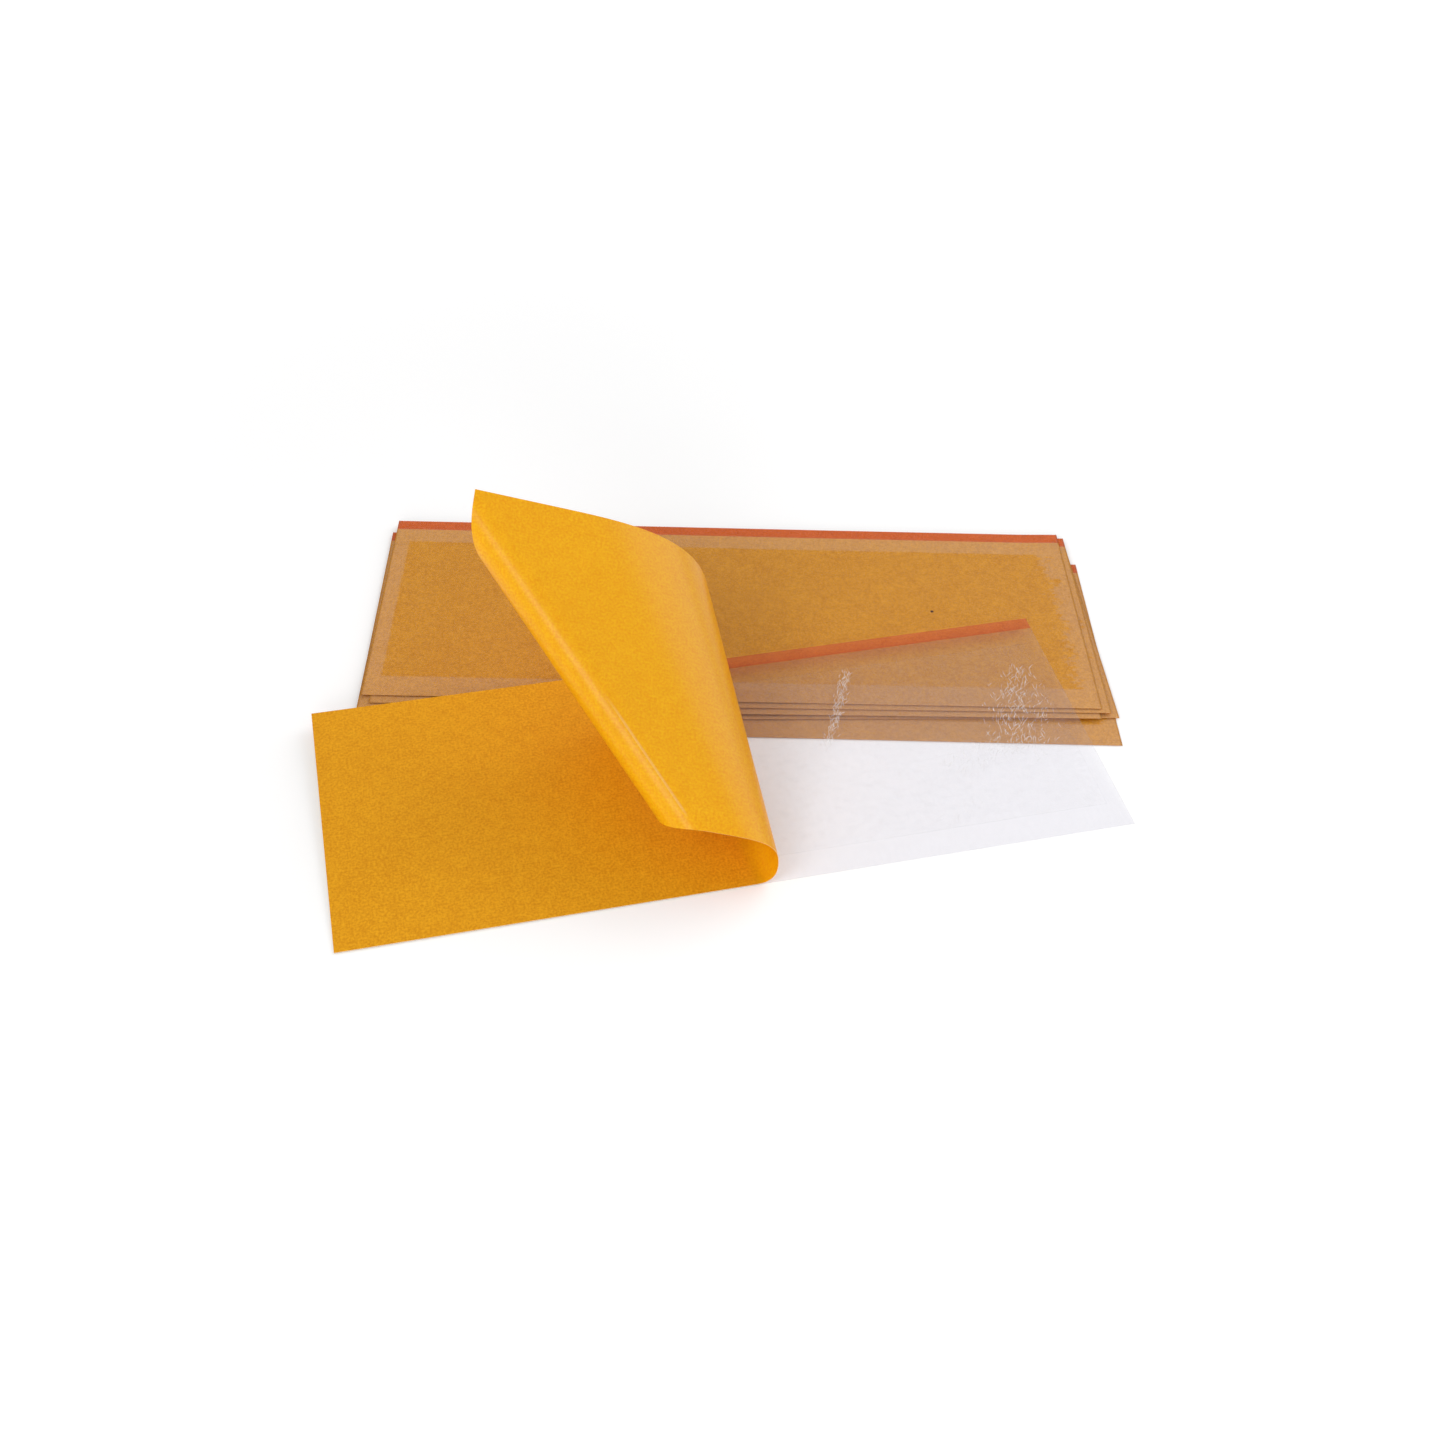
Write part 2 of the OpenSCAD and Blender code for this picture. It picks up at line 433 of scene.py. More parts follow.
@dataclass(frozen=True)
class KraftPaper:
    """Waxed kraft release paper: a mottled outer face and a glossier coated face."""

    outer: Tones = (ink(207, 134, 8), ink(235, 168, 26))
    # Outer face where the paper is free: brighter and more saturated than the stuck outer face, a painted
    # glow for the inside of the roll.
    free: Tones = (ink(240, 172, 2), ink(250, 198, 12))
    # Coated face: glossier, and brighter than the outer face partly as painted light on the flap, which faces
    # the lamps and glows through.
    coat: Tones = (ink(241, 177, 7), ink(251, 208, 24))
    dry: Tones = (ink(191, 126, 26), ink(217, 152, 46))
    wet: Tones = (ink(189, 121, 17), ink(215, 149, 37))
    edge: Colour = ink(244, 214, 160)
    fleck_colour: Colour = ink(70, 40, 16)
    outer_rough: float = 0.56
    coat_rough: float = 0.42
    gloss: float = 0.45
    gloss_rough: float = 0.25
    shine: float = 0.15
    sheer: float = 0.43
    # Pale colour on the crease: partly whitened paper, partly a painted glint along the crease.
    crease_pale_and_glint: Colour = ink(255, 232, 176)
    broad: Spot = (45, 45)
    clouds: Spot = (240, 240)
    grains: Spot = (1300, 1300)
    fibres: Spot = (420, 2600)
    tone_shares: tuple[float, ...] = (0.06, 0.14, 0.50, 0.30)
    tone_range: Spot = (0.34, 0.66)
    rough_spread: float = 0.12
    fleck_size: float = 0.0004
    crease_height: float = 24.0
    crease_pale_and_glint_share: float = 0.3
    relief: Spot = (0.3, 0.00008)

    def material(
        self,
        name: str,
        seed: float,
        area: GlueArea | None = None,
        fleck: Spot | None = None,
        crease: Crease | None = None,
        free: bool = False,
    ) -> bpy.types.Material:
        """Makes the paper of one sheet.

        Args:
            name: Name of the material.
            seed: Shift of the pattern.
            area: Glue that still wets the coated face, if any.
            fleck: Place of a dark fibre fleck on the flat cut, if any.
            crease: Crease across the paper, if any.
            free: Whether light can shine through the paper from behind; the free part's outer face then also
                takes the brighter free tones, a painted glow.

        Returns:
            The material.
        """
        paint = Paint(name)
        broad = paint.noise(self.broad, seed + 6, 3)
        cloud = paint.noise(self.clouds, seed, 4)
        grain = paint.noise(self.grains, seed + 1, 3)
        lengthwise = paint.noise(self.fibres, seed + 2, 2)
        crosswise = paint.noise(self.fibres[::-1], seed + 4, 2)
        fibre = lengthwise * 0.5 + crosswise * 0.5
        wide, soft, fine, thread = self.tone_shares
        tone = paint.ramp(broad * wide + cloud * soft + grain * fine + fibre * thread, *self.tone_range)
        coated = paint.mark("coat")
        outer = paint.mix(tone, *self.outer)
        # On the free part the outer face takes the brighter free tones: painted glow inside the roll.
        if free:
            loose = paint.mix(tone, *self.free)
            outer = paint.mix(paint.mark("free"), outer, loose)
        coat = paint.mix(tone, *self.coat)
        gloss: Wire | float = coated * self.gloss
        if area is not None:
            wet = paint.mix(tone, *self.wet)
            dry = paint.mix(tone, *self.dry)
            coat = paint.mix(area.mask(paint), dry, wet)
            gloss = 0.0
        colour = paint.mix(coated, outer, coat)
        if fleck is not None:
            ends = {0: paint.flat, 1: (*fleck, 0.0)}
            away = paint.node("ShaderNodeVectorMath", ends, "Value", operation="DISTANCE")
            ragged = away + (grain - 0.5) * self.fleck_size
            inside = 1 - paint.ramp(ragged, self.fleck_size, self.fleck_size * 2)
            colour = paint.mix(inside, colour, self.fleck_colour)
        colour = paint.mix(paint.mark("rim"), colour, self.edge)
        relief = grain * 0.5 + fibre * 0.5
        if crease is not None:
            ridge = crease.height(paint)
            relief = relief + ridge * self.crease_height
            # Paler line along the crease: partly whitened paper, partly painted glint.
            colour = paint.mix(ridge * self.crease_pale_and_glint_share, colour, self.crease_pale_and_glint)
        rough = self.outer_rough + coated * (self.coat_rough - self.outer_rough)
        return paint.finish(
            {
                "Base Color": colour,
                "Roughness": rough + (cloud - 0.5) * self.rough_spread,
                "Specular IOR Level": self.shine,
                "Coat Weight": gloss,
                "Coat Roughness": self.gloss_rough,
                "Normal": paint.bump(relief, *self.relief),
            },
            Through(Passing.SCATTERED, colour, paint.mark("free") * self.sheer) if free else None,
        )


@dataclass(frozen=True)
class ClearFilm:
    """Clear plastic film, hazy where air lies behind it and clear where glue or ink wets it, with an optional
    band of painted shade along its short ends.
    """

    haze: Colour = ink(224, 223, 232)
    tint: Colour = WHITE
    dry: float = 0.050
    wet: float = 0.008
    rim: float = 0.25
    rough: float = 0.22
    # Band of painted shade along the film's short ends, standing in for the shadow between stacked sheets and
    # the cut edge's refraction line.
    painted_end_shade: float = 0.0
    painted_end_shade_cover: float = 0.10
    painted_end_shade_colour: Colour = ink(130, 84, 62)
    clouds: Spot = (70, 110)
    scuffs: Spot = (900, 240)
    cloud_low: float = 0.8
    cloud_rise: float = 0.4
    scuff_cover: float = 0.03
    scuff_rough: float = 0.15
    relief: Spot = (0.25, 0.0003)

    def material(self, name: str, seed: float, area: GlueArea | None = None) -> bpy.types.Material:
        """Makes the film of one sheet.

        Args:
            name: Name of the material.
            seed: Shift of the pattern.
            area: Glue that wets the film, if any.

        Returns:
            The material.
        """
        paint = Paint(name)
        cloud = paint.noise(self.clouds, seed, 3)
        scuff = paint.noise(self.scuffs, seed + 5, 3)
        clouded = self.dry * (self.cloud_low + cloud * self.cloud_rise)
        clear = clouded + (scuff - 0.5) * self.scuff_cover
        if area is not None:
            clear = clear + area.closed(paint) * (self.wet - clear)
        colour: Wire | Colour = self.haze
        # Painted shade: a darker, less clear band along both short ends.
        if area is not None and self.painted_end_shade > 0:
            border = area.ends(paint, self.painted_end_shade)
            clear = clear + border * (self.painted_end_shade_cover - clear)
            colour = paint.mix(border, self.haze, self.painted_end_shade_colour)
        alpha = clear + paint.mark("rim") * (self.rim - clear)
        return paint.finish(
            {
                "Base Color": colour,
                "Roughness": self.rough + (scuff - 0.5) * self.scuff_rough,
                "Normal": paint.bump(cloud, *self.relief),
            },
            Through(Passing.CLEAR, self.tint, 1 - alpha),
        )


@dataclass(frozen=True)
class ClearGlue:
    """Clear tacky glue with a rippled, wet surface."""

    tint: Colour = ink(206, 203, 208)
    body: float = 0.010
    ripple: float = 0.030
    rim: float = 0.35
    rough: float = 0.10
    waves: Spot = (260, 420)
    grains: Spot = (1300, 2100)
    wave_share: float = 0.6
    cloudy_range: Spot = (0.45, 0.75)
    wave_relief: float = 0.7
    grain_rough: float = 0.1
    relief: Spot = (0.5, 0.0003)

    def material(self, name: str, seed: float, area: GlueArea, share: float = 1.0) -> bpy.types.Material:
        """Makes the glue coat of one sheet.

        Args:
            name: Name of the material.
            seed: Shift of the pattern.
            area: Outline of the coat.
            share: Share of the glue's own haze that shows.

        Returns:
            The material.
        """
        paint = Paint(name)
        wave = paint.noise(self.waves, seed, 3)
        fine = paint.noise(self.grains, seed + 2, 2)
        ripple = wave * self.wave_share + fine * (1 - self.wave_share)
        cloudy = self.body + paint.ramp(ripple, *self.cloudy_range) * self.ripple
        alpha = (cloudy * area.mask(paint) + paint.mark("rim") * self.rim) * share
        relief = wave * self.wave_relief + fine * (1 - self.wave_relief)
        return paint.finish(
            {
                "Base Color": self.tint,
                "Roughness": self.rough + fine * self.grain_rough,
                "Alpha": alpha,
                "Normal": paint.bump(relief, *self.relief),
            }
        )


@dataclass(frozen=True)
class StripeInk:
    """Orange printed stripe of sheer ink that tints the light it lets through."""

    # These default tones are the lighter copy of the ink used on the pile: painted light on the pile's
    # stripes.
    tones: Tones = (ink(228, 134, 82), ink(244, 156, 102))
    tint: Colour = ink(255, 231, 228)
    cover: float = 0.14
    cover_spread: float = 0.1
    rough: float = 0.42
    rough_spread: float = 0.2
    shine: float = 0.2
    clouds: Spot = (120, 500)
    grains: Spot = (1800, 1800)
    tone_range: Spot = (0.3, 0.7)

    def material(self, name: str, seed: float) -> bpy.types.Material:
        """Makes the stripe of one sheet.

        Args:
            name: Name of the material.
            seed: Shift of the pattern.

        Returns:
            The material.
        """
        paint = Paint(name)
        cloud = paint.noise(self.clouds, seed, 3)
        grain = paint.noise(self.grains, seed + 1, 2)
        tone = paint.ramp(cloud * 0.5 + grain * 0.5, *self.tone_range)
        return paint.finish(
            {
                "Base Color": paint.mix(tone, *self.tones),
                "Roughness": self.rough + (grain - 0.5) * self.rough_spread,
                "Specular IOR Level": self.shine,
            },
            Through(Passing.CLEAR, self.tint, 1 - self.cover + (grain - 0.5) * self.cover_spread),
        )


@dataclass(frozen=True)
class PulledGlue:
    """Whitish strings of glue pulled up by the paper; their pale colour is partly the pulled glue's own and
    partly painted glint.
    """

    # Near-white at high cover: partly painted glints on the strings.
    tint: Colour = ink(252, 250, 250)
    cover: float = 0.65
    grains: float = 900.0
    rough: float = 0.08
    rough_spread: float = 0.2

    def material(self, name: str) -> bpy.types.Material:
        """Makes the glue of the strings.

        Args:
            name: Name of the material.

        Returns:
            The material.
        """
        paint = Paint(name)
        place = paint.node("ShaderNodeTexCoord", output="Object")
        fine = paint.node("ShaderNodeTexNoise", {"Vector": place, "Scale": self.grains, "Detail": 2.0})
        return paint.finish(
            {
                "Base Color": self.tint,
                "Roughness": self.rough + fine * self.rough_spread,
                "Alpha": self.cover * (0.5 + fine),
            }
        )


def flat_grid(start: Spot, end: Spot, steps: tuple[int, int]) -> np.ndarray:
    """Lays a grid of points on the flat cut, with some cells along and across."""
    ticks = (np.linspace(first, last, count + 1) for first, last, count in zip(start, end, steps))
    return np.stack(np.meshgrid(*ticks), axis=-1)


def thin_sheet(name: str, flat: np.ndarray, middle: np.ndarray, thick: float, coat: Side) -> bpy.types.Object:
    """Closes a grid of points into a thin sheet with two faces and a rim.

    Args:
        name: Name of the new object.
        flat: Place of each point on the flat cut.
        middle: Place of each point of the middle surface, in the row frame.
        thick: Thickness of the sheet.
        coat: Face that carries the release coat.

    Returns:
        The object, with its place on the flat cut as a UV map and its coat and rim as attributes.
    """
    rows, columns = flat.shape[:2]
    count = rows * columns
    normal = np.cross(np.gradient(middle, axis=1), np.gradient(middle, axis=0))
    normal *= thick / 2 / np.linalg.norm(normal, axis=2, keepdims=True)
    points = np.concatenate([(middle + normal).reshape(-1, 3), (middle - normal).reshape(-1, 3)])
    index = np.arange(count).reshape(rows, columns)
    upper = cell_corners(index)
    ring = np.concatenate([index[0, :-1], index[:-1, -1], index[-1, :0:-1], index[:0:-1, 0]])
    following = np.roll(ring, -1)
    rim = np.column_stack([ring + count, following + count, following, ring])
    faces = np.concatenate([upper, upper[:, ::-1] + count, rim])
    mesh = bpy.data.meshes.new(name)
    mesh.from_pydata(points.tolist(), [], faces.tolist())
    corners = np.empty(len(mesh.loops), int)
    mesh.loops.foreach_get("vertex_index", corners)
    spread = np.tile(flat.reshape(-1, 2), (2, 1))[corners]
    mesh.uv_layers.new(name=FLAT_MAP).uv.foreach_set("vector", spread.astype(np.float32).ravel())
    coated = np.zeros(len(faces), np.float32)
    if coat is not Side.NONE:
        first = 0 if coat is Side.UPPER else len(upper)
        coated[first : first + len(upper)] = 1
    edge = np.zeros(len(faces), np.float32)
    edge[2 * len(upper) :] = 1
    for label, values in (("coat", coated), ("rim", edge)):
        mesh.attributes.new(label, "FLOAT", "FACE").data.foreach_set("value", values)
    mesh.shade_smooth()
    mesh.set_sharp_from_angle(angle=SHARP_EDGE)
    return linked(name, mesh)


def dress(piece: bpy.types.Object, finish: bpy.types.Material, body: str, node: str) -> None:
    """Gives a piece its finish, ties it to its body and hides the node that it stands for.

    Args:
        piece: Finished mesh object.
        finish: Material of the whole piece.
        body: Body that the piece moves with.
        node: Node that the piece stands for.
    """
    piece.data.materials.append(finish)
    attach(piece, body)
    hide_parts(node)
    log.info("%s rides on %s", piece.name, body)


@dataclass(frozen=True)
class SheetFinish:
    """Finishes of a sheet's four layers."""

    paper: KraftPaper
    glue: ClearGlue
    stripe: StripeInk
    film: ClearFilm


@dataclass
class TrapSheet(ABC):
    """What the closed sheets and the opened sheet have in common."""

    cut: SheetCut

    @abstractmethod
    def lay(self, flat: np.ndarray, height: float) -> np.ndarray:
        """Places points of the flat cut in the row frame, at a height above the sheet's underside."""

    def layer(
        self, name: str, corners: tuple[Spot, Spot], floor: float, thick: float, coat: Side = Side.NONE
    ) -> bpy.types.Object:
        """Makes one layer of the sheet.

        Args:
            name: Name of the layer.
            corners: Front left and rear right corner on the flat cut.
            floor: Height of the layer's underside above the sheet's.
            thick: Thickness of the layer.
            coat: Face that carries the release coat.

        Returns:
            The layer's object.
        """
        cells = [max(2, round((last - first) / LAYER_CELL)) for first, last in zip(*corners)]
        flat = flat_grid(*corners, (cells[0], cells[1]))
        return thin_sheet(name, flat, self.lay(flat, floor + thick / 2), thick, coat)


@dataclass
class PileSheet(TrapSheet):
    """One closed sheet of the pile, film side up."""

    number: int
    shift: Spot
    turn: float
    gap: float = 0.00005
    wave: float = 0.00003
    wave_along: Spot = (31, 0.6)
    wave_across: Spot = (44, 1.1)
    spring: float = 0.0
    spring_reach: float = 0.030
    fan: float = 0.00008
    fan_reach: float = 0.016
    fleck: Spot | None = None
    glue_haze: float = 0.3
    seed_step: float = 7.3

    @property
    def floor(self) -> float:
        """Height of the underside."""
        return (self.number - 1) * (self.cut.film + self.cut.glue + self.cut.paper + self.gap)

    def lay(self, flat: np.ndarray, height: float) -> np.ndarray:
        """Places points of the flat cut in the pile.

        Args:
            flat: Points on the flat cut.
            height: Height above the sheet's underside.

        Returns:
            The points in the row frame.
        """
        turn = math.radians(self.turn)
        along = flat[..., 0] - self.cut.length / 2
        across = flat[..., 1] - self.cut.width / 2
        x = self.shift[0] + along * math.cos(turn) - across * math.sin(turn)
        y = self.shift[1] + along * math.sin(turn) + across * math.cos(turn)
        rate_along, start_along = self.wave_along
        rate_across, start_across = self.wave_across
        ripple = np.sin(rate_along * x + start_along) * np.cos(rate_across * y + start_across)
        wave = self.wave * (1 + ripple)
        front = self.spring * (1 - smooth(flat[..., 1], 0, self.spring_reach))
        end = smooth(flat[..., 0], self.cut.length - self.fan_reach, self.cut.length)
        lift = np.maximum(front, self.fan * (self.number - 1) * end)
        return np.stack([x, y, self.floor + height + wave + lift], axis=-1)

    def build(self, finish: SheetFinish) -> None:
        """Makes the sheet's four layers and dresses them.

        Args:
            finish: Finishes of the layers.
        """
        cut, n, seed = self.cut, self.number, self.number * self.seed_step
        body, area, coat_floor = f"sheet_{n}", GlueArea(cut, seed), cut.paper + cut.seam
        liner = self.layer(f"release_paper_{n}", cut.whole, 0.0, cut.paper, Side.UPPER)
        kraft = finish.paper.material(f"kraft_paper_{n}", seed, area, self.fleck)
        dress(liner, kraft, body, f"liner_{n}")
        coat = self.layer(f"glue_coat_{n}", cut.coat, coat_floor, cut.glue_body)
        tack = finish.glue.material(f"clear_glue_{n}", seed, area, self.glue_haze)
        dress(coat, tack, body, f"glue_{n}")
        band = self.layer(f"orange_stripe_{n}", cut.band, coat_floor, cut.glue_body)
        dress(band, finish.stripe.material(f"stripe_ink_{n}", seed), body, f"stripe_{n}")
        cover = self.layer(f"clear_film_{n}", cut.whole, cut.paper + cut.glue, cut.film)
        dress(cover, finish.film.material(f"film_haze_{n}", seed, area), body, f"film_{n}")
        below = [f"clear_film_{n - 1}"] if n > 1 else []


def spun(vectors: np.ndarray, axes: np.ndarray, turns: np.ndarray) -> np.ndarray:
    """Turns vectors about unit axes.

    Args:
        vectors: Vectors to turn.
        axes: One axis for all vectors, or one for each.
        turns: Angle for each vector, in radians.

    Returns:
        The turned vectors.
    """
    c, s = np.cos(turns)[..., None], np.sin(turns)[..., None]
    along = np.sum(axes * vectors, axis=-1, keepdims=True)
    return vectors * c + np.cross(axes, vectors) * s + axes * along * (1 - c)


@dataclass
class Peel:
    """Shape of the release paper that is peeled back: a cone-shaped roll, a flap and a diagonal bend."""

    cut: SheetCut
    length: float = 0.1252
    lean: float = 7.5
    reach: float = 0.0513
    span: float = 40.8
    radius: float = 0.00752
    ease: float = 1.0
    dip: float = 1.07
    dip_place: float = 0.35
    dip_width: float = 0.14
    soft_end: float = 0.12
    steps: int = 36
    front: float = 0.00324
    bend_radius: float = 0.0075
    tuck: float = 121.51
    loose: float = 0.45

    def __post_init__(self) -> None:
        """Works out the directions of the roll, the flap and the bend."""
        lean = math.radians(self.lean)
        self.line = np.array([-math.sin(lean), math.cos(lean), 0.0])
        self.side = np.array([math.cos(lean), math.sin(lean), 0.0])
        self.apex = np.array([self.cut.length - self.length, 0.0, 0.0]) - self.reach * self.line
        self.roll()
        last = math.radians(self.span - self.lean)
        self.flat_along = np.array([math.sin(last), math.cos(last), 0.0])
        self.flat_away = np.array([math.cos(last), -math.sin(last), 0.0])
        start = self.apex - self.flat_along * self.apex[1] / math.cos(last)
        self.bend_start = np.array([start[0] + self.front, 0.0, 0.0])
        bend = np.array([self.cut.length, self.cut.width, 0.0]) - self.bend_start
        self.bend_line = bend / np.linalg.norm(bend)
        self.bend_side = np.array([self.bend_line[1], -self.bend_line[0], 0.0])

    def curl(self, share: np.ndarray) -> np.ndarray:
        """Says how tightly the roll curls.

        Args:
            share: Share of the roll's span, from the peel line to the flap.

        Returns:
            How far the paper turns over for each radian of the flat cut.
        """
        ends = smooth(share, 0, self.soft_end) * smooth(1 - share, 0, self.soft_end)
        dip = self.dip * np.exp(-(((share - self.dip_place) / self.dip_width) ** 2))
        return self.reach / self.radius * ends * (1 + self.ease * (1 - 2 * share) - dip)

    def roll(self) -> None:
        """Follows the roll in small turns and keeps the frame, the axis and the angle of each."""
        frames = [np.stack([self.line, self.side, np.array([0.0, 0.0, 1.0])])]
        axes, turns = [], []
        step = math.radians(self.span) / self.steps
        for tightness in self.curl((np.arange(self.steps) + 0.5) / self.steps):
            pitch = math.hypot(1.0, tightness)
            axes.append(-(tightness * frames[-1][0] + frames[-1][2]) / pitch)
            turns.append(step * pitch)
            frames.append(spun(frames[-1], axes[-1], np.full(3, turns[-1])))
        self.frames, self.axes, self.turns = np.array(frames), np.array(axes), np.array(turns)

    def place(self, flat: np.ndarray) -> tuple[np.ndarray, np.ndarray]:
        """Places points of the flat paper on the peeled shape.

        Args:
            flat: Points on the flat cut.

        Returns:
            The points in the open sheet's frame, and the share of the roll's span that each has passed.
        """
        spot = raised(flat)
        ray = spot - self.apex
        share = np.clip(np.arctan2(ray @ self.side, ray @ self.line) / math.radians(self.span), 0, 1)
        stage = np.minimum((share * self.steps).astype(int), self.steps - 1)
        line = spun(self.frames[stage, 0], self.axes[stage], self.turns[stage] * (share * self.steps - stage))
        rolled = self.apex + line * np.linalg.norm(ray, axis=-1, keepdims=True)
        depth = np.maximum((spot - self.bend_start) @ self.bend_side, 0)
        tuck = math.radians(self.tuck)
        bent = np.minimum(depth / self.bend_radius, tuck)
        past = np.maximum(depth - self.bend_radius * tuck, 0)
        sideways = self.bend_radius * np.sin(bent) + past * math.cos(tuck)
        outward = self.bend_radius * (1 - np.cos(bent)) + past * math.sin(tuck)
        folded = ray + self.bend_side * (sideways - depth)[..., None]
        along, away, out = self.frames[-1]
        flap = (
            self.apex
            + along * (folded @ self.flat_along)[..., None]
            + away * (folded @ self.flat_away)[..., None]
            + out * outward[..., None]
        )
        made = np.where((share >= 1)[..., None], flap, np.where((share > 0)[..., None], rolled, spot))
        return made, share


@dataclass
class OpenSheet(TrapSheet):
    """The opened sheet, paper side up, with its paper peeled back from the right half."""

    peel: Peel
    middle: Spot = (-0.0105, -0.0656)
    turn: float = 13.4
    tilt: float = 2.855
    body: str = "open_sheet"
    flap_body: str = "peeled_paper"
    cells: tuple[int, int] = (280, 108)
    roll_from: float = 0.45
    roll_to: float = 0.62
    crease: Crease = Crease((0.2045, 0.0390), (0.1745, 0.0030))
    film_seed: float = 51.0
    glue_seed: float = 53.0
    stripe_seed: float = 55.0
    paper_seed: float = 57.0
    area_seed: float = 61.7

    def frame(self) -> Matrix:
        """Place of the sheet's front left corner, on its slope."""
        return (
            Matrix.Translation((*self.middle, 0.0))
            @ Matrix.Rotation(math.radians(self.turn), 4, "Z")
            @ Matrix.Translation((-self.cut.length / 2, -self.cut.width / 2, 0.0))
            @ Matrix.Rotation(math.radians(self.tilt), 4, "X")
        )

    def set_down(self, points: np.ndarray, height: float) -> np.ndarray:
        """Places points of the sheet's own frame in the row frame, raised by a height."""
        place = np.array(self.frame())
        return (points + np.array([0.0, 0.0, height])) @ place[:3, :3].T + place[:3, 3]

    def lay(self, flat: np.ndarray, height: float) -> np.ndarray:
        """Places points of the flat cut on the sheet's slope."""
        return self.set_down(raised(flat), height)

    def paper(self, finish: bpy.types.Material) -> None:
        """Makes the release paper in one piece and lets it bend with the peel.

        Args:
            finish: Material of the paper.
        """
        cut = self.cut
        flat = flat_grid(*cut.whole, self.cells)
        points, share = self.peel.place(flat)
        middle = self.set_down(points, cut.film + cut.glue + cut.paper / 2)
        sheet = thin_sheet("peeled_release_paper", flat, middle, cut.paper, Side.LOWER)
        sheet.data.materials.append(finish)
        start, end = (middle[0, int(self.cells[0] * part)] for part in (self.roll_from, self.roll_to))
        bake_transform(sheet, self.body, self.flap_body, tuple(start), tuple(end))
        sheet.data.attributes.new("free", "FLOAT", "POINT")
        follow = share * smooth(share, 0, self.peel.loose)
        for label, values in (("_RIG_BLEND", follow), ("free", smooth(share, 0, self.peel.soft_end))):
            spread = np.tile(values.ravel(), 2).astype(np.float32)
            sheet.data.attributes[label].data.foreach_set("value", spread)
        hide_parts("open_liner", "liner_roll", "liner_flap")
        log.info("%s bends from %s to %s", sheet.name, self.body, self.flap_body)

    def build(self, finish: SheetFinish) -> None:
        """Makes the sheet's layers and its peeled paper.

        Args:
            finish: Finishes of the layers.
        """
        cut, coat_floor = self.cut, self.cut.film + self.cut.seam
        base = self.layer("open_clear_film", cut.whole, 0.0, cut.film)
        haze = finish.film.material("open_film_haze", self.film_seed)
        dress(base, haze, self.body, "open_film")
        coat = self.layer("open_glue_coat", cut.coat, coat_floor, cut.glue_body)
        tack = finish.glue.material("open_clear_glue", self.glue_seed, GlueArea(cut, self.area_seed))
        dress(coat, tack, self.body, "open_glue")
        band = self.layer("open_orange_stripe", cut.band, coat_floor, cut.glue_body)
        printed = finish.stripe.material("open_stripe_ink", self.stripe_seed)
        dress(band, printed, self.body, "open_stripe")
        kraft = finish.paper.material("peeled_kraft_paper", self.paper_seed, crease=self.crease, free=True)
        self.paper(kraft)


@dataclass(frozen=True)
class Streak:
    """A streak across the glue where the paper pulled up strings."""

    start: Spot
    end: Spot
    width: float
    share: float


